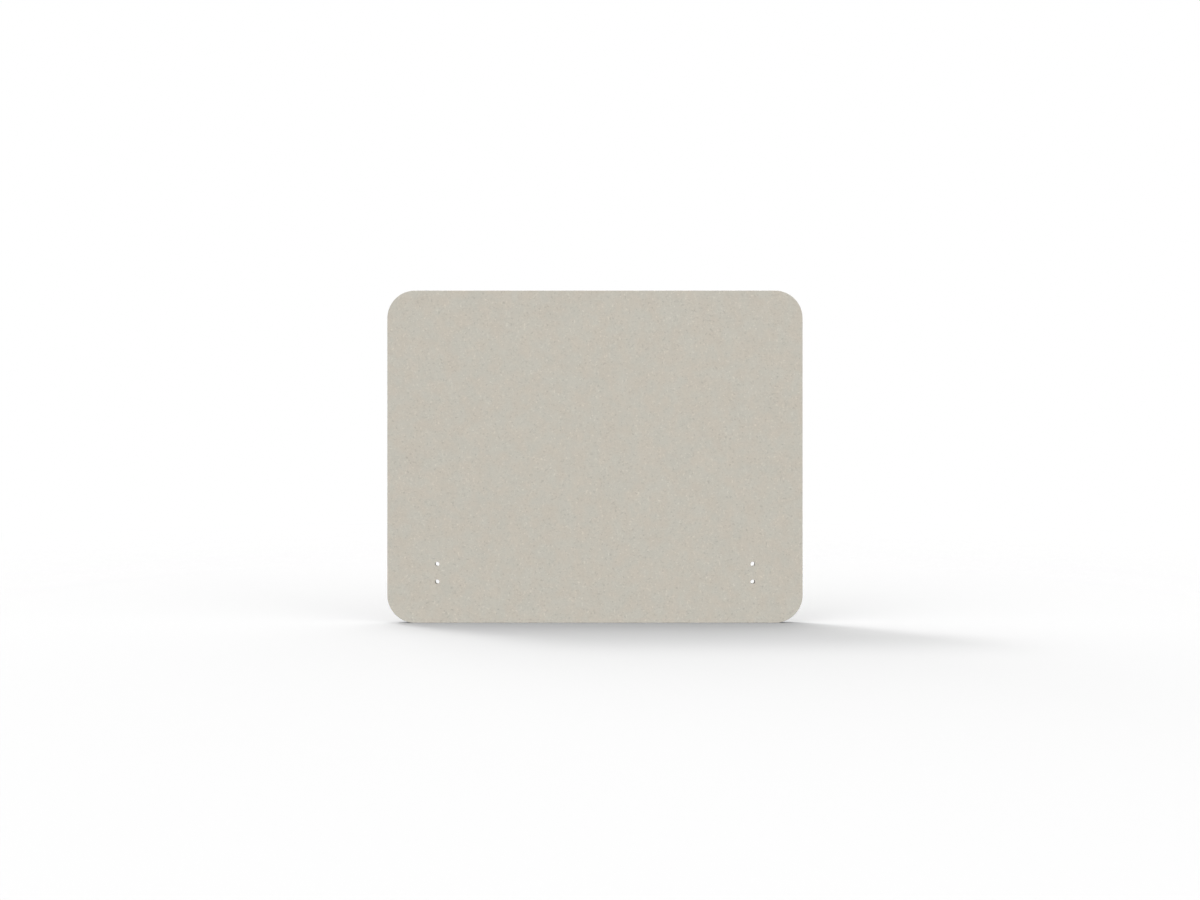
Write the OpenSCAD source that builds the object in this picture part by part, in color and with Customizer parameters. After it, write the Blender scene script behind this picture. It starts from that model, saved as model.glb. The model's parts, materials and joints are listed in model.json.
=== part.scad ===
// Acoustic divider screen: one upright felt board with rounded corners and
// two pairs of through holes for the brackets that hold it to a desk.
// The board is a laminate. A felt is bonded to each side of a thicker core
// by a thin melted web, and all five layers share one cut outline.
// The origin is the middle of the bottom edge, with +Z up, the width along X
// and the front face towards -Y. All sizes are in millimetres.

/* [Board] */
// Width of the screen
screen_w = 750; // [400:10:1800]
// Height of the screen
screen_h = 600; // [300:10:1200]
// Radius of the four rounded corners
corner_r = 50; // [5:1:80]
// Thickness of the finished board
board_t = 12; // [9:0.5:24]

/* [Layers] */
// Thickness of the felt on each face
face_t = 1.5; // [0.5:0.1:3]
// Thickness of the melted web that bonds a felt to the core
web_t = 0.25; // [0.1:0.05:0.5]

/* [Bracket holes] */
// Diameter of each through hole
hole_d = 8; // [4:0.5:14]
// Height from the lower hole of a pair to the upper one
hole_pitch = 32; // [20:1:64]
// Distance from a side edge of the screen to the nearer pair
pair_inset = 90; // [40:1:150]
// Height of the middle of a pair above the bottom edge
pair_rise = 90; // [60:1:120]

/* [Hidden] */

// Layer thicknesses add up to the board, so the core takes what is left
core_t = board_t - 2 * (face_t + web_t);

// Front side of each layer, counted back from the front face
front_felt_y = -board_t / 2;
front_web_y = front_felt_y + face_t;
core_y = front_web_y + web_t;
rear_web_y = core_y + core_t;
rear_felt_y = rear_web_y + web_t;

// Bracket holes, as places on the face of the board
pair_x = screen_w / 2 - pair_inset;
hole_z = [pair_rise - hole_pitch / 2, pair_rise + hole_pitch / 2];

// Circles come out as true arcs, so this only sets how smooth a preview is
$fn = 96;

felt_colour = [0.77, 0.75, 0.71];
core_colour = [0.72, 0.70, 0.65];
web_colour = [0.86, 0.86, 0.82];

// The outline that the whole board is cut to, standing on y = 0
module board_outline() {
    corner_x = screen_w / 2 - corner_r;
    translate([-corner_x, 0]) square([2 * corner_x, screen_h]);
    translate([-screen_w / 2, corner_r]) square([screen_w, screen_h - 2 * corner_r]);
    for (x = [-corner_x, corner_x], z = [corner_r, screen_h - corner_r])
        translate([x, z]) circle(r = corner_r);
}

// The two pairs of bracket holes
module bracket_holes() {
    for (x = [-pair_x, pair_x], z = hole_z)
        translate([x, z]) circle(d = hole_d);
}

// One layer of the board: its front side lies at y, and it is t thick
module layer(y, t) {
    translate([0, y + t, 0])
        rotate([90, 0, 0])
            linear_extrude(height = t)
                difference() {
                    board_outline();
                    bracket_holes();
                }
}

module front_face_felt() {
    color(felt_colour) layer(front_felt_y, face_t);
}

module front_bond_web() {
    color(web_colour) layer(front_web_y, web_t);
}

module core_board() {
    color(core_colour) layer(core_y, core_t);
}

module rear_bond_web() {
    color(web_colour) layer(rear_web_y, web_t);
}

module rear_face_felt() {
    color(felt_colour) layer(rear_felt_y, face_t);
}

front_face_felt();
front_bond_web();
core_board();
rear_bond_web();
rear_face_felt();
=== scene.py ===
"""Dresses the acoustic divider screen: a heathered felt on each side, the pressed core and the two
bond lines that show on the cut edge, the loose fibres of the cloth, and a plain white studio."""
import json
import math

import bmesh
import bpy
import numpy as np
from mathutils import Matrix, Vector
from mathutils.geometry import delaunay_2d_cdt


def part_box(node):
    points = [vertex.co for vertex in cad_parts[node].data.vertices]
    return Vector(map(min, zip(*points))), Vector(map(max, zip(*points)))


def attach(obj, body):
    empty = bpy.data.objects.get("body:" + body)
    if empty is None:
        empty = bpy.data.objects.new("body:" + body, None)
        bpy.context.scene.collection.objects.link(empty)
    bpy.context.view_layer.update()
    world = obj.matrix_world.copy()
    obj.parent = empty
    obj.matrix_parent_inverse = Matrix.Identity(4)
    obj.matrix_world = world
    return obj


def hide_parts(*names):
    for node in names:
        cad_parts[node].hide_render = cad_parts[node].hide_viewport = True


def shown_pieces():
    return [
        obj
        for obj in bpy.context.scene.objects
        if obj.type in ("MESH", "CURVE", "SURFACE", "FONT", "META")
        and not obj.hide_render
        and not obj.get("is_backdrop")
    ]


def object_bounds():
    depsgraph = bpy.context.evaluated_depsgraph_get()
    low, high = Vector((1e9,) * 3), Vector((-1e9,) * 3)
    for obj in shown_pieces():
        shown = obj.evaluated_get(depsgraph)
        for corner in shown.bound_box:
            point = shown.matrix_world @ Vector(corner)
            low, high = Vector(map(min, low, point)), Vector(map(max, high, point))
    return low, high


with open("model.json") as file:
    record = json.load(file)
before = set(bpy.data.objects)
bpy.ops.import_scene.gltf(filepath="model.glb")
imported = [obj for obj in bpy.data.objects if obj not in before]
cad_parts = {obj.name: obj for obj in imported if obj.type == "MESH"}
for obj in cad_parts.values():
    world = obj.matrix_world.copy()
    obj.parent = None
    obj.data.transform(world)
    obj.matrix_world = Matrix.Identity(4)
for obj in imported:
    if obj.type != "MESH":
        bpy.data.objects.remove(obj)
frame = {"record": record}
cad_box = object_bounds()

MM = 0.001

# The board as it was packed. Only its corner radius isn't in the record.
BOARD_LOW, BOARD_HIGH = cad_box
WIDTH = BOARD_HIGH.x - BOARD_LOW.x
HEIGHT = BOARD_HIGH.z - BOARD_LOW.z
MIDDLE_Z = BOARD_LOW.z + HEIGHT / 2
CORNER_R = 50 * MM
HOLES = [(m["pos_m"][0], m["pos_m"][2], m["dims"]["r_mm"] * MM)
         for m in frame["record"]["mounts"] if m["kind"] == "bore"]

# Linear colours of the felts and of the web that bonds them
FACE_TONE = (0.552, 0.521, 0.456)
CORE_TONE = (0.500, 0.472, 0.412)
WEB_TONE = (0.700, 0.690, 0.640)
PALE_FIBRE = (0.70, 0.67, 0.60)
DARK_FIBRE = (0.38, 0.35, 0.30)


class Value:
    """An output of a node. Sums and products of values add the Math nodes that work them out."""

    def __init__(self, graph, socket):
        self.graph, self.socket = graph, socket

    def maths(self, operation, *others):
        return self.graph.maths(operation, self, *others)

    def __add__(self, other):
        return self.maths("ADD", other)

    __radd__ = __add__

    def __mul__(self, other):
        return self.maths("MULTIPLY", other)

    def __sub__(self, other):
        return self.maths("SUBTRACT", other)

    def __rsub__(self, other):
        return self.graph.maths("SUBTRACT", other, self)

    def __abs__(self):
        return self.maths("ABSOLUTE")


class Graph:
    """A node tree in the making, for a material, the world or a shape."""

    def __init__(self, tree):
        self.tree = tree

    def node(self, kind, settings=None, inputs=None):
        """Adds a node, sets it up first, and fills in or links its inputs."""
        node = self.tree.nodes.new(kind)
        for name, setting in (settings or {}).items():
            setattr(node, name, setting)
        self.fill(node, inputs or {})
        return node

    def fill(self, node, inputs):
        for name, value in inputs.items():
            if isinstance(value, Value):
                self.tree.links.new(value.socket, node.inputs[name])
            else:
                node.inputs[name].default_value = value

    def add(self, kind, settings=None, inputs=None, output=0):
        """The output of a new node."""
        return Value(self, self.node(kind, settings, inputs).outputs[output])

    def maths(self, operation, *values):
        return self.add("ShaderNodeMath", {"operation": operation}, dict(enumerate(values)))

    def vectors(self, operation, *values):
        return self.add("ShaderNodeVectorMath", {"operation": operation}, dict(enumerate(values)))

    def scaled(self, vector, by):
        return self.add("ShaderNodeVectorMath", {"operation": "SCALE"}, {0: vector, "Scale": by})

    def mix(self, share, first, second):
        """One colour into another."""
        return self.add("ShaderNodeMix", {"data_type": "RGBA"}, {0: share, 6: first, 7: second}, output=2)

    def rise(self, value, low, high):
        """0 below low, 1 above high, and a smooth rise between them."""
        return self.add("ShaderNodeMapRange", {"interpolation_type": "SMOOTHSTEP"},
                        {"Value": value, "From Min": low, "From Max": high})

    def noise(self, place, size, detail=2.0, rough=0.5, output="Fac"):
        """Cloudy noise round 0.5, whose largest blobs are about size across."""
        return self.add("ShaderNodeTexNoise", {},
                        {"Vector": place, "Scale": 1 / size, "Detail": detail, "Roughness": rough}, output)

    def sway(self, place, size, by, detail=2.0):
        """Moves to and fro by about a quarter of by, in swirls of this size."""
        cloud = self.noise(place, size, detail, output="Color")
        return self.scaled(self.vectors("SUBTRACT", cloud, (0.5, 0.5, 0.5)), by)


# Finishes

# Fibres and tufts lie in layers that cross each other. Their reach is how far one runs along its way,
# through the cloth and across
FIBRE_LAYERS = 8
FIBRE_REACH = (9 * MM, 0.4 * MM, 0.34 * MM)
TUFT_LAYERS = 4
TUFT_REACH = (7.5 * MM, 2.5 * MM, 2.5 * MM)
# How unevenly the layers are turned, and how far each is shifted, so that no two are alike
TURN_UNEVENNESS = 0.4
LAYER_SHIFT = (0.31, 0.17, -0.23)
# How high the noise is where a fibre, a tuft, or a nub or pit begins, and where it is full
FIBRE_RANGE = (0.54, 0.76)
TUFT_RANGE = (0.66, 0.88)
SPOT_RANGE = (0.67, 0.85)
# The swirls that curl the fibres and fray the smaller marks: their size and their strength
CURL = (9 * MM, 6 * MM)
FRAY = (1.1 * MM, 3.2 * MM)
# The size of the other marks
NUB_SIZE = 3.6 * MM
PIT_SIZE = 3.5 * MM
CLOUD_SIZE = 34 * MM
GRAIN_SIZE = 4.2 * MM
PLY_REACH = (14 * MM, 0.7 * MM, 14 * MM)
# How much lighter or darker each kind of mark makes the felt
CLOUD_SHADE = 0.075
GRAIN_SHADE = 0.11
NUB_SHADE = 0.14
PIT_SHADE = 0.145
FIBRE_SHADE = 0.025
PALE_TUFT_SHADE = 0.07
DARK_TUFT_SHADE = 0.075
# Painted shade: how much darker the felt is painted on the wall of a drilled hole, where little light gets
# in
DRILLED_WALL_PAINTED_SHADE = 0.24
# How far each kind of mark lifts the surface, and a pit sinks it, in millimetres
CLOUD_LIFT = 0.2
NUB_LIFT = 0.08
PIT_SINK = 0.1
FIBRE_LIFT = 0.03
BUMP_STRENGTH = 0.6
# The felt drifts between these two tints of its tone, in patches of this size
DRIFT_SIZE = 24 * MM
DRIFT_RANGE = (0.3, 0.7)
WARM = (1.012, 0.994, 0.984)
GREENISH = (0.988, 1.006, 1.016)
# The darker parts of the melted web
MELT_SIZE = 3 * MM
MELT_RANGE = (0.35, 0.65)
MELT_TINT = (0.72, 0.72, 0.72)


def principled(name):
    material = bpy.data.materials.new(name)
    material.use_nodes = True
    return material, Graph(material.node_tree), material.node_tree.nodes["Principled BSDF"]


def opaque(tone, tint=(1, 1, 1)):
    """A tone, tinted, as a colour with an alpha of 1."""
    return (*(part * by for part, by in zip(tone, tint)), 1)


def shifted(g, place, x, y, z):
    """Places moved elsewhere, where the noise looks different."""
    return g.vectors("ADD", place, (x, y, z))


def wandering(g, place, size, by):
    return g.vectors("ADD", place, g.sway(place, size, by))


def crossed(g, place, layers, reach, span):
    """Layers of marks that cross each other, each with all its marks lying one way in the plane of the
    board: the sum of the light layers and the sum of the dark ones."""
    sums = [0.0, 0.0]
    for layer in range(layers):
        turn = math.pi * (layer + TURN_UNEVENNESS * math.sin(5 * layer)) / layers
        laid = g.add("ShaderNodeMapping", {"vector_type": "TEXTURE"},
                     {"Vector": place, "Location": [(layer + 1) * by for by in LAYER_SHIFT],
                      "Rotation": (0, turn, 0), "Scale": reach})
        sums[layer % 2] = g.rise(g.noise(laid, 1.0, detail=0.0), *span) + sums[layer % 2]
    return sums


def felt(name, tone, mottle, plies):
    """Needled felt: a cloudy mottle, curling light and dark fibres, small tufts, nubs and pits, with painted
    shade on the walls of drilled holes. mottle is how strongly its shade varies, and plies how clearly a cut
    edge shows its layers."""
    material, g, shader = principled(name)
    place = g.add("ShaderNodeTexCoord", output="Object")
    drilled = g.add("ShaderNodeAttribute", {"attribute_name": "drilled"}, output="Fac")
    light, dark = crossed(g, wandering(g, place, *CURL), FIBRE_LAYERS, FIBRE_REACH, FIBRE_RANGE)
    frayed = wandering(g, place, *FRAY)
    pale_tufts, dark_tufts = crossed(g, frayed, TUFT_LAYERS, TUFT_REACH, TUFT_RANGE)
    nubs = g.rise(g.noise(shifted(g, frayed, 0.1, 0.9, 0.3), NUB_SIZE, detail=0.0), *SPOT_RANGE)
    pits = g.rise(g.noise(shifted(g, frayed, 0.5, 0.4, 0.8), PIT_SIZE, detail=0.0), *SPOT_RANGE)
    cloud = g.noise(place, CLOUD_SIZE, detail=3.0, rough=0.55)
    grain = g.noise(shifted(g, place, 0.7, 0.2, 0.4), GRAIN_SIZE, detail=1.0, rough=0.6)
    shade = (cloud - 0.5) * CLOUD_SHADE + (grain - 0.5) * GRAIN_SHADE + nubs * NUB_SHADE - pits * PIT_SHADE
    shade = shade + light * FIBRE_SHADE - dark * FIBRE_SHADE
    shade = shade + pale_tufts * PALE_TUFT_SHADE - dark_tufts * DARK_TUFT_SHADE
    if plies:
        layer = g.add("ShaderNodeMapping", {"vector_type": "TEXTURE"}, {"Vector": place, "Scale": PLY_REACH})
        shade = shade + (g.noise(layer, 1.0, detail=1.0) - 0.5) * plies
    drift = g.rise(g.noise(shifted(g, place, 0.3, 0.6, 0.2), DRIFT_SIZE, detail=3.0), *DRIFT_RANGE)
    colour = g.mix(drift, opaque(tone, WARM), opaque(tone, GREENISH))
    height = (cloud + grain) * CLOUD_LIFT + (nubs + pale_tufts) * NUB_LIFT - pits * PIT_SINK
    height = height + (light + dark) * FIBRE_LIFT
    g.fill(shader, {
        # Painted shade: the felt is painted darker on the walls of the drilled holes
        "Base Color": g.scaled(colour, (1.0 + shade * mottle) * (1.0 - drilled * DRILLED_WALL_PAINTED_SHADE)),
        "Roughness": 0.93 + (grain - 0.5) * 0.1,
        "Normal": g.add("ShaderNodeBump", {}, {"Height": height, "Distance": MM, "Strength": BUMP_STRENGTH}),
        "Specular IOR Level": 0.2,
        "Sheen Weight": 0.05,
        "Sheen Roughness": 0.6,
    })
    return material


def bond_web():
    """Melted adhesive threads: a pale, slightly waxy line."""
    material, g, shader = principled("melted_web")
    place = g.add("ShaderNodeTexCoord", output="Object")
    melt = g.noise(place, MELT_SIZE, detail=3.0, rough=0.6)
    g.fill(shader, {
        "Base Color": g.mix(g.rise(melt, *MELT_RANGE), opaque(WEB_TONE, MELT_TINT), opaque(WEB_TONE)),
        "Roughness": 0.45 + melt * 0.3,
        "Normal": g.add("ShaderNodeBump", {},
                        {"Height": melt, "Distance": 0.1 * MM, "Strength": BUMP_STRENGTH}),
    })
    return material


def loose_fibre():
    """Single fibres, each of one shade from off-white to taupe."""
    material, g, shader = principled("loose_fibre")
    shade = g.add("ShaderNodeAttribute", {"attribute_name": "shade"}, output="Fac")
    g.fill(shader, {
        "Base Color": g.mix(shade, opaque(DARK_FIBRE), opaque(PALE_FIBRE)),
        "Roughness": 0.7,
        "Sheen Weight": 0.1,
    })
    return material


FACE_FELT = felt("heathered_felt", FACE_TONE, mottle=1.0, plies=0.0)
CORE_FELT = felt("pressed_core_felt", CORE_TONE, mottle=1.1, plies=0.35)
MELTED_WEB = bond_web()
LOOSE_FIBRE = loose_fibre()


# The outline and the holes that every layer is cut to

OUTLINE_STEP = 2.5 * MM
ARC_STEPS = 32
HOLE_STEPS = 32
# How far from the board's middle the corners' arcs are centred
ARC_X = WIDTH / 2 - CORNER_R
ARC_Z = HEIGHT / 2 - CORNER_R


def board_loop():
    """The board's outline, anticlockwise from the front, as points and their outward directions."""
    points, outward = [], []
    reach = np.array([ARC_X, ARC_Z])
    for quarter, corner in enumerate([(1, -1), (1, 1), (-1, 1), (-1, -1)]):
        centre = np.array([0, MIDDLE_Z]) + reach * corner
        for k in range(ARC_STEPS + 1):
            angle = (quarter - 1 + k / ARC_STEPS) * math.pi / 2
            way = np.array([math.cos(angle), math.sin(angle)])
            points.append(centre + CORNER_R * way)
            outward.append(way)
        run = 2 * reach[1 - quarter % 2]
        steps = round(run / OUTLINE_STEP)
        along = np.array([-way[1], way[0]]) * run / steps
        for _ in range(steps - 1):
            points.append(points[-1] + along)
            outward.append(way)
    return np.array(points), np.array(outward)


def hole_loop(x, z, radius):
    """A hole's edge, clockwise, so that the felt is on the same side of it as of the outline."""
    angle = -2 * math.pi * np.arange(HOLE_STEPS) / HOLE_STEPS
    way = np.stack([np.cos(angle), np.sin(angle)], axis=1)
    return np.array([x, z]) + radius * way, -way


LOOPS = [board_loop(), *(hole_loop(*hole) for hole in HOLES)]
LOOP_ENDS = [int(end) for end in np.cumsum([len(points) for points, _ in LOOPS])]
LOOP_SPANS = list(zip([0] + LOOP_ENDS[:-1], LOOP_ENDS))
RIM_SIZE = LOOP_ENDS[-1]
RIM = np.concatenate([points for points, _ in LOOPS])
RIM_OUTWARD = np.concatenate([outward for _, outward in LOOPS])
NEXT_ON_RIM = np.arange(1, RIM_SIZE + 1)
for loop_start, loop_end in LOOP_SPANS:
    NEXT_ON_RIM[loop_end - 1] = loop_start


def room_round(points):
    """How far points on the face are from the nearest edge of the board or of a hole."""
    x = np.abs(points[:, 0]) - ARC_X
    z = np.abs(points[:, 1] - MIDDLE_Z) - ARC_Z
    past = np.hypot(np.maximum(x, 0), np.maximum(z, 0)) + np.minimum(np.maximum(x, z), 0)
    room = CORNER_R - past
    for hole_x, hole_z, radius in HOLES:
        room = np.minimum(room, np.hypot(points[:, 0] - hole_x, points[:, 1] - hole_z) - radius)
    return room


# The height of an equal-sided triangle, and how far the lattice keeps from the rings, both in cells
TRIANGLE_HEIGHT = math.sqrt(0.75)
RING_MARGIN = 0.75
# What the triangulation is asked for: faces within the loops only, and points this near to be one
INSIDE_ONLY = 1
SAME_POINT = 1e-7


def lattice(cell, margin):
    """The points of a triangle lattice that keep a margin from every edge."""
    rows = round(HEIGHT / (cell * TRIANGLE_HEIGHT))
    columns = int(WIDTH / cell) + 2
    row, column = np.mgrid[0:rows, 0:columns]
    x = (column - columns / 2 + 0.5 * (row % 2)) * cell
    z = BOARD_LOW.z + (row + 0.5) * HEIGHT / rows
    points = np.stack([x.ravel(), z.ravel()], axis=1)
    return points[room_round(points) > margin]


def filled(inset, cell):
    """Triangles that fill the rim drawn in by inset, with lattice points among them. Returns those points
    and the triangles, which count the rim's points first."""
    inner = lattice(cell, inset + RING_MARGIN * cell)
    points = [Vector(point) for point in np.concatenate([RIM - inset * RIM_OUTWARD, inner])]
    edges = [(k, int(NEXT_ON_RIM[k])) for k in range(RIM_SIZE)]
    _, _, faces, origin, _, _ = delaunay_2d_cdt(points, edges, [], INSIDE_ONLY, SAME_POINT)
    faces = np.array([[origin[corner][0] for corner in face] for face in faces])
    loop_of = np.full(len(points), -1)
    for loop, (start, end) in enumerate(LOOP_SPANS):
        loop_of[start:end] = loop
    loops = loop_of[faces]
    in_a_hole = (loops > 0).all(axis=1) & (np.ptp(loops, axis=1) == 0)
    return inner, faces[~in_a_hole]


# Each layer is a closed mesh: a cap on each side, joined at its edges by rings

class Ring:
    """One line round every edge of a layer: how far in from the cut it runs, its place along Y, and how
    far its points give, away from the edge and along Y."""

    def __init__(self, inset, y, give_out=0.0, give_y=0.0):
        self.inset, self.y, self.give_out, self.give_y = inset, y, give_out, give_y


# Rings that run nearer to the cut than this lie on its wall
WALL_INSET = 0.2 * MM

# The space between two patches on a layer's own map, for a picture of 1024 pixels
MAP_GAP = 4 / 1024


class MapPlan:
    """Where a layer's faces lie on the map that its colours are drawn on. The first and the last rows of
    faces lie flat with their cap, and the rows of the cut edge between them lie in strips."""

    def __init__(self, edge_rows, cap_corners, cap_scales, strips, strips_from):
        self.edge_rows = edge_rows
        self.caps = list(zip(cap_corners, cap_scales))
        self.strips_from = strips_from
        steps = np.linalg.norm(RIM[NEXT_ON_RIM] - RIM, axis=1)
        self.after = np.cumsum(steps)
        self.before = self.after - steps
        self.strip_length = self.after[-1] / strips + steps.max()
        self.strip = (self.before // (self.after[-1] / strips)).astype(int)
        self.strip_start = self.strip * self.after[-1] / strips
        self.scale = (1 - 2 * MAP_GAP) / self.strip_length

    def flat(self, last, x, z):
        (u, v), scale = self.caps[last]
        return u + (x - BOARD_LOW.x) * scale, v + (z - BOARD_LOW.z) * scale

    def in_strip(self, k, depths, total):
        """The map places of the face at rim point k, between two depths down the cut edge."""
        low = self.strips_from + self.strip[k] * (total * self.scale + MAP_GAP)
        left, right = ((run[k] - self.strip_start[k]) * self.scale + MAP_GAP
                       for run in (self.before, self.after))
        near, far = (low + depth * self.scale for depth in depths)
        return [(left, near), (left, far), (right, far), (right, near)]


class Layer:
    """A layer in the making: its points, how each gives, which of them lie on a drilled wall, and its faces
    with the places of their corners on its map. cells are the sizes of the triangles on its two caps."""

    def __init__(self, rings, cells, plan):
        self.rings, self.plan = rings, plan
        self.places, self.gives, self.drilled, self.faces, self.map = [], [], [], [], []
        for ring in rings:
            rim = RIM - RIM_OUTWARD * ring.inset
            on_wall = float(ring.inset < WALL_INSET)
            self.drilled += [0.0] * LOOP_ENDS[0] + [on_wall] * (RIM_SIZE - LOOP_ENDS[0])
            self.places += [(x, ring.y, z) for x, z in rim.tolist()]
            self.gives += [(x, ring.give_y, z) for x, z in (RIM_OUTWARD * ring.give_out).tolist()]
        for row in range(len(rings) - 1):
            self.join_rings(row)
        self.add_cap(0, cells[0])
        self.add_cap(1, cells[1])

    def depth(self, row):
        """How far down the cut edge a ring is."""
        pairs = list(zip(self.rings, self.rings[1:]))[self.plan.edge_rows[0]:row]
        return sum(math.hypot(after.inset - ring.inset, after.y - ring.y) for ring, after in pairs)

    def join_rings(self, row):
        first_edge, past_edge = self.plan.edge_rows
        at_edge = first_edge <= row < past_edge
        depths, total = (self.depth(row), self.depth(row + 1)), self.depth(past_edge)
        for k in range(RIM_SIZE):
            here, after = row * RIM_SIZE + k, row * RIM_SIZE + int(NEXT_ON_RIM[k])
            face = (here, here + RIM_SIZE, after + RIM_SIZE, after)
            self.faces.append(face)
            if at_edge:
                self.map += self.plan.in_strip(k, depths, total)
            else:
                self.lay_flat(face, row >= past_edge)

    def lay_flat(self, face, last):
        """Puts a face on the map next to the first or the last cap."""
        self.map += [self.plan.flat(last, self.places[c][0], self.places[c][2]) for c in face]

    def add_cap(self, last, cell):
        row = (len(self.rings) - 1) * last
        ring = self.rings[row]
        inner, triangles = filled(ring.inset, cell)
        base = len(self.places)
        self.places += [(x, ring.y, z) for x, z in inner.tolist()]
        self.gives += [(0.0, ring.give_y, 0.0)] * len(inner)
        self.drilled += [0.0] * len(inner)
        corners = np.where(triangles < RIM_SIZE, triangles + row * RIM_SIZE, triangles - RIM_SIZE + base)
        for face in (corners[:, ::-1] if last else corners).tolist():
            self.faces.append(tuple(face))
            self.lay_flat(face, last)

    def blank(self):
        """The layer as it is cut, before it gives anywhere."""
        mesh = bpy.data.meshes.new("blank")
        mesh.from_pydata(self.places, [], self.faces)
        for name, kind, part, values in (("give", "FLOAT_VECTOR", "vector", self.gives),
                                         ("drilled", "FLOAT", "value", self.drilled)):
            told = mesh.attributes.new(name, kind, "POINT")
            told.data.foreach_set(part, np.array(values, np.float32).ravel())
        drawn = mesh.uv_layers.new(name="OFBake")
        drawn.uv.foreach_set("vector", np.array(self.map, np.float32).ravel())
        return in_scene(bpy.data.objects.new("blank", mesh))


def in_scene(thing):
    bpy.context.scene.collection.objects.link(thing)
    return thing


# Shapes made by node trees

SOCKETS = {float: "NodeSocketFloat", int: "NodeSocketInt", bpy.types.Material: "NodeSocketMaterial"}


class Shape:
    """A Geometry Nodes tree: a mesh goes in with some named sizes, and a mesh comes out."""

    def __init__(self, name, **sizes):
        self.tree = bpy.data.node_groups.new(name, "GeometryNodeTree")
        self.graph = Graph(self.tree)
        sockets = self.tree.interface
        sockets.new_socket("Mesh", in_out="INPUT", socket_type="NodeSocketGeometry")
        self.sizes = {size: sockets.new_socket(size, in_out="INPUT", socket_type=SOCKETS[kind]).identifier
                      for size, kind in (*sizes.items(), ("Material", bpy.types.Material))}
        sockets.new_socket("Mesh", in_out="OUTPUT", socket_type="NodeSocketGeometry")
        self.given = self.tree.nodes.new("NodeGroupInput")

    def __getitem__(self, size):
        return Value(self.graph, self.given.outputs[size])

    def end(self, geometry):
        g = self.graph
        smooth = g.add("GeometryNodeSetShadeSmooth", {}, {0: geometry})
        plain = g.add("GeometryNodeRealizeInstances", {}, {"Geometry": smooth})
        faced = g.add("GeometryNodeSetMaterial", {}, {"Geometry": plain, "Material": self["Material"]})
        g.fill(self.tree.nodes.new("NodeGroupOutput"), {"Mesh": faced})
        return self

    def run(self, name, base, **sizes):
        """A new object with what the tree makes of base."""
        modifier = base.modifiers.new("shape", "NODES")
        modifier.node_group = self.tree
        for size, value in sizes.items():
            modifier[self.sizes[size]] = value
        graph = bpy.context.evaluated_depsgraph_get()
        mesh = bpy.data.meshes.new_from_object(base.evaluated_get(graph), depsgraph=graph)
        base.modifiers.remove(modifier)
        mesh.name = name
        return in_scene(bpy.data.objects.new(name, mesh))


# A layer gives where its noise falls short of this level: its relief times this gain times the shortfall
RELIEF_LEVEL = 0.75
RELIEF_GAIN = 2


def surface_relief():
    """Lets every point of a layer give inwards a little, as pressed and cut felt does. Relief is how far,
    Blob is the width of the dents, and Ply their reach through the board."""
    shape = Shape("surface_relief", Relief=float, Blob=float, Ply=float, Seed=float)
    g = shape.graph
    size = g.add("ShaderNodeCombineXYZ", {}, {"X": shape["Blob"], "Y": shape["Ply"], "Z": shape["Blob"]})
    place = g.vectors("DIVIDE", g.add("GeometryNodeInputPosition"), size)
    cloud = g.add("ShaderNodeTexNoise", {"noise_dimensions": "4D"},
                  {"Vector": place, "W": shape["Seed"], "Scale": 1.0, "Detail": 2.0, "Roughness": 0.55})
    sunk = (cloud - RELIEF_LEVEL).maths("MINIMUM", 0.0) * shape["Relief"] * RELIEF_GAIN
    give = g.add("GeometryNodeInputNamedAttribute", {"data_type": "FLOAT_VECTOR"}, {"Name": "give"})
    return shape.end(g.add("GeometryNodeSetPosition", {},
                           {"Geometry": shape["Mesh"], "Offset": g.scaled(give, sunk)}))


# The points along a loose fibre, the sides of its section, and the number of shades that fibres come in
FIBRE_POINTS = 5
FIBRE_SIDES = 3
SHADES = 64
# The shortest fibre as a share of the longest, how much thinner its tip is, and the size of its swirls
SHORTEST = 0.4
TAPER = 0.6
SWIRL = 2.5 * MM
# How squarely the felt has to face the wanted way, from 0 to 1, for fibres to stand on it
LEAST_FACING = 0.5
# On the map each shade has a column. A fibre starts this far into its own, and once round it is this wide
COLUMN_START = 0.2
COLUMN_REACH = 0.9


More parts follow.
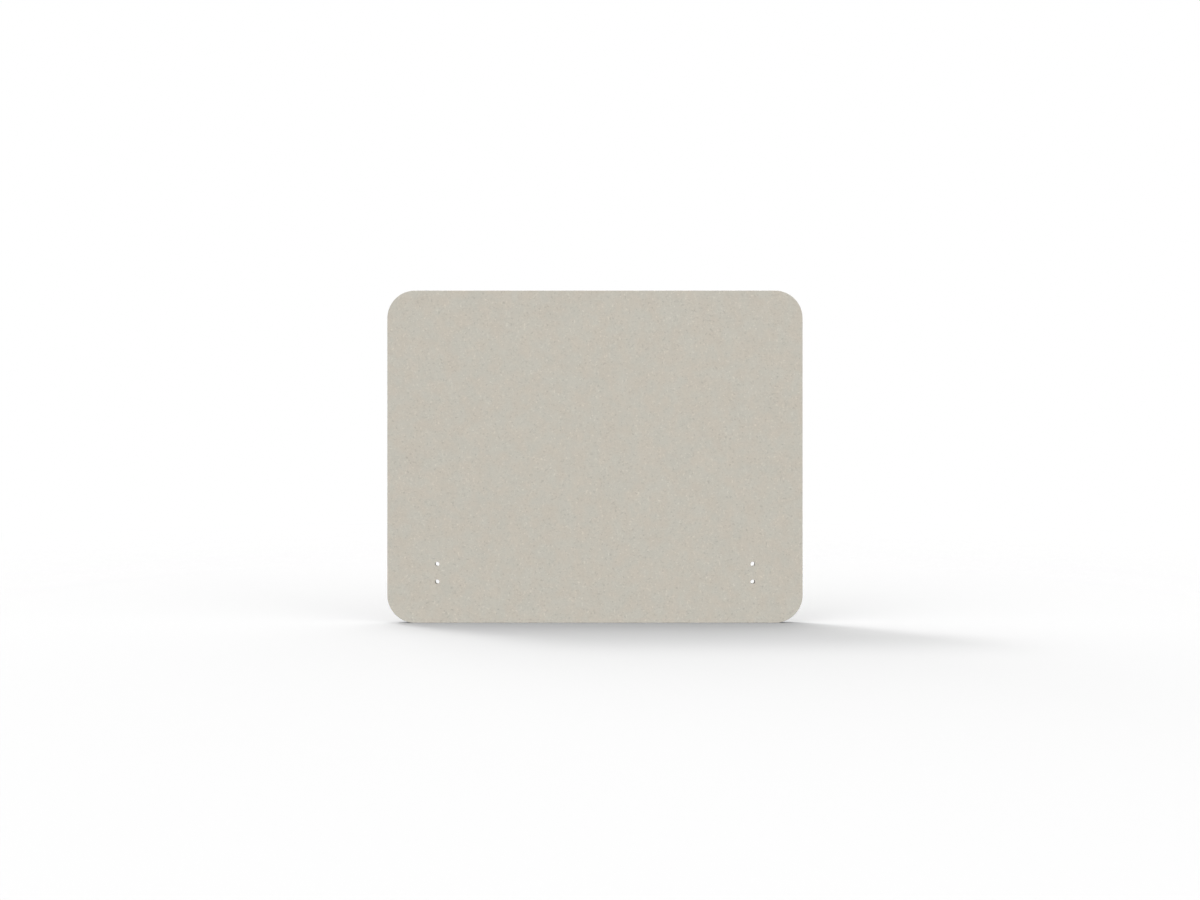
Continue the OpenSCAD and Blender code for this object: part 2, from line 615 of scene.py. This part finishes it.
def loose_fibres():
    """Fibres that stand up from felt, but not from a drilled wall. Side says where: -1 on the front, 1 on
    the rear, 0 on the cut edge. Rise is how steeply they leave the felt, Curl how far their ends wander, and
    Lowest the height from which on they grow."""
    shape = Shape("loose_fibres", Side=float, Density=float, Length=float, Thickness=float, Rise=float,
                  Curl=float, Lowest=float, Seed=int)
    g = shape.graph
    normal = g.add("GeometryNodeInputNormal")
    facing = g.add("ShaderNodeSeparateXYZ", {}, {0: normal}, "Y")
    side = shape["Side"]
    wanted = facing * side + (1 - abs(side)) * (1 - abs(facing))
    height = g.add("ShaderNodeSeparateXYZ", {}, {0: g.add("GeometryNodeInputPosition")}, "Z")
    drilled = g.add("GeometryNodeInputNamedAttribute", {"data_type": "FLOAT"}, {"Name": "drilled"})
    clear = (height.maths("GREATER_THAN", shape["Lowest"])
             * wanted.maths("GREATER_THAN", LEAST_FACING + drilled))
    spread = g.node("GeometryNodeDistributePointsOnFaces", {},
                    {"Mesh": shape["Mesh"], "Selection": clear, "Density": shape["Density"],
                     "Seed": shape["Seed"]})
    roots, out = Value(g, spread.outputs["Points"]), Value(g, spread.outputs["Normal"])
    number = g.add("FunctionNodeRandomValue", {"data_type": "INT"},
                   {4: 0, 5: SHADES - 1, "Seed": shape["Seed"]}, 2)
    roots = g.add("GeometryNodeStoreNamedAttribute", {"data_type": "FLOAT", "domain": "POINT"},
                  {"Geometry": roots, "Name": "shade", "Value": number * (1 / (SHADES - 1))})
    any_way = g.add("FunctionNodeRandomValue", {"data_type": "FLOAT_VECTOR"},
                    {"Min": (-1, -1, -1), "Max": (1, 1, 1), "Seed": shape["Seed"]})
    along_felt = g.vectors("CROSS_PRODUCT", any_way, out)
    way = g.vectors("ADD", g.vectors("NORMALIZE", along_felt), g.scaled(out, shape["Rise"]))
    turned = g.add("FunctionNodeAlignRotationToVector", {"axis": "Z"}, {"Vector": way})
    long = g.add("FunctionNodeRandomValue", {"data_type": "FLOAT"},
                 {2: SHORTEST, 3: 1.0, "Seed": shape["Seed"]}, 1)
    line = g.add("GeometryNodeCurvePrimitiveLine", {},
                 {"End": g.add("ShaderNodeCombineXYZ", {}, {"Z": shape["Length"]})})
    laid = g.add("GeometryNodeInstanceOnPoints", {},
                 {"Points": roots, "Instance": line, "Rotation": turned, "Scale": long})
    lines = g.add("GeometryNodeResampleCurve", {},
                  {"Curve": g.add("GeometryNodeRealizeInstances", {}, {"Geometry": laid}),
                   "Count": FIBRE_POINTS})
    share = g.add("GeometryNodeSplineParameter", {}, {}, "Factor")
    place = g.add("GeometryNodeInputPosition")
    sway = g.sway(place, SWIRL, share * shape["Curl"], detail=0.0)
    curled = g.add("GeometryNodeSetPosition", {}, {"Geometry": lines, "Offset": sway})
    kept_share = g.node("GeometryNodeCaptureAttribute", {}, {"Geometry": curled})
    kept_share.capture_items.new("FLOAT", "along")
    g.fill(kept_share, {"along": share})
    section = g.add("GeometryNodeCurvePrimitiveCircle", {}, {"Resolution": FIBRE_SIDES, "Radius": 1.0})
    kept_turn = g.node("GeometryNodeCaptureAttribute", {}, {"Geometry": section})
    kept_turn.capture_items.new("FLOAT", "around")
    g.fill(kept_turn, {"around": share})
    tubes = g.add("GeometryNodeCurveToMesh", {},
                  {"Curve": Value(g, kept_share.outputs["Geometry"]),
                   "Profile Curve": Value(g, kept_turn.outputs["Geometry"]), "Fill Caps": True,
                   "Scale": shape["Thickness"] * (1 - share * TAPER) * 0.5})
    shade = g.add("GeometryNodeInputNamedAttribute", {"data_type": "FLOAT"}, {"Name": "shade"})
    around = Value(g, kept_turn.outputs["around"])
    across = (shade * (SHADES - 1) + COLUMN_START + around * COLUMN_REACH) * (1 / SHADES)
    drawn = g.add("ShaderNodeCombineXYZ", {}, {"X": across, "Y": Value(g, kept_share.outputs["along"])})
    return shape.end(g.add("GeometryNodeStoreNamedAttribute", {"data_type": "FLOAT2", "domain": "CORNER"},
                           {"Geometry": tubes, "Name": "OFBake", "Value": drawn}))


RELIEF = surface_relief()
FIBRES = loose_fibres()


# The five layers

EDGE_R = 0.35 * MM
EDGE_STEPS = 4
FELT_WALL_STEPS = 4
CORE_WALL_STEPS = 14
FACE_CELL = 2.7 * MM
HIDDEN_CELL = 9 * MM
# The rings on a shown face: how far in from the cut they run, and how far they give
FACE_RINGS = ((6 * MM, 1.0), (3 * MM, 0.9), (1.2 * MM, 0.7))
# How far a felt's cut edge gives, next to its face
CUT_GIVE = 0.6
# How far in from the cut the ring on a hidden side runs
FELT_INSET = 4 * MM
INNER_INSET = 5 * MM
# How far the bond lines are drawn back from the cut
WEB_INSET = 0.1 * MM
# On the maps a shown face takes up the full width, and the hidden sides are small and lie this far up.
# The cut edge is drawn in a number of strips
SHOWN_SCALE = (1 - 2 * MAP_GAP) / WIDTH
FELT_UP, FELT_SCALE, FELT_STRIPS = 0.95, 0.07, 12
CORE_UP, CORE_SCALE, CORE_STRIPS = 0.86, 0.22, 16
WEB_UP, WEB_SCALE, WEB_STRIPS = 0.3, 0.6, 24


def abreast(up, scale):
    """The corners and the scales of two hidden sides that lie next to each other on a map."""
    return [(MAP_GAP, up), (0.5, up)], [scale, scale]


def cut(name, rings, cells, plan, **give):
    """A layer as a piece of its own, whose surface gives as told."""
    blank = Layer(rings, cells, plan).blank()
    piece = RELIEF.run(name, blank, **give)
    bpy.data.objects.remove(blank)
    return piece


def face_felt(node, name, front):
    """The felt on one side of the board, with a softened outer edge."""
    low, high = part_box(node)
    shown, hidden, out = (low.y, high.y, -1.0) if front else (high.y, low.y, 1.0)
    rings = [Ring(inset, shown, 0, give * out) for inset, give in FACE_RINGS]
    flat_rows = len(rings)
    for k in range(EDGE_STEPS + 1):
        turn = k / EDGE_STEPS * math.pi / 2
        inset, drop = EDGE_R * (1 - math.sin(turn)), EDGE_R * (1 - math.cos(turn))
        rings.append(Ring(inset, shown - out * drop,
                          CUT_GIVE * math.sin(turn), CUT_GIVE * out * math.cos(turn)))
    wall = np.linspace(shown - out * EDGE_R, hidden, FELT_WALL_STEPS + 1)
    rings += [Ring(0, y, CUT_GIVE) for y in wall[1:]]
    edge_rows = (flat_rows, len(rings) - 1)
    rings.append(Ring(FELT_INSET, hidden))
    cells = (FACE_CELL, HIDDEN_CELL)
    corners, scales = [(MAP_GAP, MAP_GAP), (MAP_GAP, FELT_UP)], [SHOWN_SCALE, FELT_SCALE]
    if not front:
        rings, cells, corners, scales = rings[::-1], cells[::-1], corners[::-1], scales[::-1]
        edge_rows = (len(rings) - 1 - edge_rows[1], len(rings) - 1 - edge_rows[0])
    plan = MapPlan(edge_rows, corners, scales, FELT_STRIPS, HEIGHT * SHOWN_SCALE + 2 * MAP_GAP)
    return cut(name, rings, cells, plan, Relief=0.16 * MM, Blob=14 * MM, Ply=2 * MM,
               Seed=1.0 if front else 7.0, Material=FACE_FELT)


def core():
    """The thick middle layer, whose cut wall shows its plies."""
    low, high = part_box("core_board")
    rings = [Ring(INNER_INSET, low.y)]
    rings += [Ring(0, y, 1.0) for y in np.linspace(low.y, high.y, CORE_WALL_STEPS + 1)]
    rings.append(Ring(INNER_INSET, high.y))
    plan = MapPlan((1, 1 + CORE_WALL_STEPS), *abreast(CORE_UP, CORE_SCALE), CORE_STRIPS, MAP_GAP)
    return cut("felt_core", rings, (HIDDEN_CELL, HIDDEN_CELL), plan, Relief=0.35 * MM, Blob=7 * MM,
               Ply=1.6 * MM, Seed=3.0, Material=CORE_FELT)


def web(node, name, seed):
    """A bond line, drawn back a little from the cut edge."""
    low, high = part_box(node)
    rings = [Ring(INNER_INSET, low.y), Ring(WEB_INSET, low.y, 1.0),
             Ring(WEB_INSET, high.y, 1.0), Ring(INNER_INSET, high.y)]
    plan = MapPlan((1, 2), *abreast(WEB_UP, WEB_SCALE), WEB_STRIPS, MAP_GAP)
    return cut(name, rings, (HIDDEN_CELL, HIDDEN_CELL), plan, Relief=0.4 * MM, Blob=6 * MM, Ply=6 * MM,
               Seed=seed, Material=MELTED_WEB)


def joined(pieces):
    """One mesh object with the faces of several."""
    together = bmesh.new()
    for piece in pieces:
        together.from_mesh(piece.data)
    mesh = bpy.data.meshes.new("joined")
    together.to_mesh(mesh)
    together.free()
    return in_scene(bpy.data.objects.new("joined", mesh))


def dressed(piece, slot, *nodes):
    if nodes:
        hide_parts(*nodes)
    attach(piece, "root")
    return piece


front = dressed(face_felt("front_face_felt", "front_felt", True), "face_felt", "front_face_felt")
rear = dressed(face_felt("rear_face_felt", "rear_felt", False), "face_felt", "rear_face_felt")
middle = dressed(core(), "core_felt", "core_board")
dressed(web("front_bond_web", "front_web", 11.0), "bond_web", "front_bond_web")
dressed(web("rear_bond_web", "rear_web", 13.0), "bond_web", "rear_bond_web")

ON_FACE = {"Density": 12000.0, "Length": 2.6 * MM, "Thickness": 0.05 * MM, "Rise": 0.12, "Curl": 1.4 * MM,
           "Lowest": 4 * MM, "Material": LOOSE_FIBRE}
ON_EDGE = {"Density": 150000.0, "Length": 1.3 * MM, "Thickness": 0.05 * MM, "Rise": 0.9, "Curl": 1.2 * MM,
           "Lowest": 2 * MM, "Material": LOOSE_FIBRE}
front_fibres = dressed(FIBRES.run("front_fibres", front, Side=-1.0, Seed=5, **ON_FACE), "face_felt")
rear_fibres = dressed(FIBRES.run("rear_fibres", rear, Side=1.0, Seed=6, **ON_FACE), "face_felt")
edges = joined([front, middle, rear])
dressed(FIBRES.run("edge_fibres", edges, Side=0.0, Seed=8, **ON_EDGE), "core_felt")
bpy.data.objects.remove(edges)

FLAT_AREA = WIDTH * HEIGHT - (4 - math.pi) * CORNER_R ** 2 - sum(math.pi * r ** 2 for _, _, r in HOLES)


# The studio

IMAGE_WIDTH = 1200
LENS = 35.0
SENSOR = 36.0
SIGHT = 100
# The size of a pixel at the board's face, and the camera's place across and up, from the photograph
PIXEL = 1.8057 * MM
CAMERA_X = 9.1 * MM
CAMERA_Z = 312 * MM


def camera():
    data = bpy.data.cameras.new("camera")
    data.lens = LENS
    data.sensor_width = SENSOR
    data.clip_end = SIGHT
    seen_from = in_scene(bpy.data.objects.new("camera", data))
    seen_from.location = (CAMERA_X, BOARD_LOW.y - LENS / SENSOR * IMAGE_WIDTH * PIXEL, CAMERA_Z)
    seen_from.rotation_euler = (math.pi / 2, 0, 0)
    bpy.context.scene.camera = seen_from


# How much light the white around the board gives, next to how white it looks
WORLD_LIGHT = 0.7
# The floor is dark, and strong lamps of its own make it look white. It lights nothing itself
FLOOR_GREY = 0.08
FLOOR_REACH = 30.0
# It turns into the white around it between these distances from the board
FADE_FROM = 1.3
FADE_TO = 3.0
# The floor's lamps: the share of white that each adds to it, and their azimuths, elevations and angles
FLOOR_LAMPS = (
    ("floor_dome", 0.314, 0, 90, 180),
    ("floor_key", 0.148, 307.6, 55.1, 13.4),
    ("floor_left", 0.236, 275.8, 29.2, 110.6),
    ("floor_right", 0.049, 118.5, 22, 49.2),
    ("floor_top", 0.173, 0.6, 84.9, 21.5),
)
# The board's lamps, with their strengths in place of the shares
BOARD_LAMPS = (
    ("board_front", 2.42, 180, 30, 70),
    ("board_back_left", 2.5, 320, 40, 30),
    ("board_back_right", 1.3, 60, 20, 60),
)


def shown_share(g):
    """1 where the camera looks, also in a shiny surface or through a clear one, and 0 elsewhere."""
    path = g.node("ShaderNodeLightPath")
    seen, mirrored, through = (Value(g, path.outputs[f"Is {way} Ray"])
                               for way in ("Camera", "Glossy", "Transmission"))
    return seen.maths("MAXIMUM", mirrored).maths("MAXIMUM", through)


def white_world():
    world = bpy.data.worlds.new("studio")
    bpy.context.scene.world = world
    world.use_nodes = True
    g = Graph(world.node_tree)
    g.fill(world.node_tree.nodes["Background"],
           {"Color": (1, 1, 1, 1), "Strength": WORLD_LIGHT + shown_share(g) * (1 - WORLD_LIGHT)})


def white_floor():
    mesh = bpy.data.meshes.new("floor")
    reach = FLOOR_REACH
    mesh.from_pydata([(-reach, -reach, 0), (reach, -reach, 0), (reach, reach, 0), (-reach, reach, 0)], [],
                     [(0, 1, 2, 3)])
    floor = in_scene(bpy.data.objects.new("floor", mesh))
    floor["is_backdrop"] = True
    material, g, shader = principled("floor")
    g.tree.nodes.remove(shader)
    shown = shown_share(g)
    away = g.add("ShaderNodeVectorMath", {"operation": "LENGTH"},
                 {0: g.add("ShaderNodeTexCoord", output="Object")}, "Value")
    grey = g.add("ShaderNodeBsdfDiffuse", {},
                 {"Color": g.mix(shown, opaque((0, 0, 0)), opaque([FLOOR_GREY] * 3))})
    white = g.add("ShaderNodeEmission", {}, {"Strength": shown})
    faded = g.add("ShaderNodeMixShader", {}, {0: g.rise(away, FADE_FROM, FADE_TO), 1: grey, 2: white})
    g.fill(g.tree.nodes["Material Output"], {"Surface": faded})
    mesh.materials.append(material)
    return floor


def sun(name, lit, azimuth, elevation, angle, strength):
    """A soft distant lamp that lights some things only. Its azimuth is clockwise from +Y, seen from above,
    and all its angles are in degrees."""
    data = bpy.data.lights.new(name, "SUN")
    data.energy = strength
    data.angle = math.radians(angle)
    lamp = in_scene(bpy.data.objects.new(name, data))
    a, e = math.radians(azimuth), math.radians(elevation)
    towards = Vector((math.sin(a) * math.cos(e), math.cos(a) * math.cos(e), math.sin(e)))
    lamp.rotation_euler = towards.to_track_quat("Z", "Y").to_euler()
    reached = bpy.data.collections.new(name)
    for thing in lit:
        reached.objects.link(thing)
    lamp.light_linking.receiver_collection = reached


def on_floor(share, elevation):
    """The strength at which a lamp adds this share of white to the bare floor."""
    return share * math.pi / (FLOOR_GREY * math.sin(math.radians(elevation)))


def lamps(floor, board):
    for name, share, azimuth, elevation, angle in FLOOR_LAMPS:
        sun(name, [floor], azimuth, elevation, angle, on_floor(share, elevation))
    for name, strength, azimuth, elevation, angle in BOARD_LAMPS:
        sun(name, board, azimuth, elevation, angle, strength)


bpy.context.scene.view_settings.view_transform = "Standard"
camera()
white_world()
lamps(white_floor(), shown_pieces())
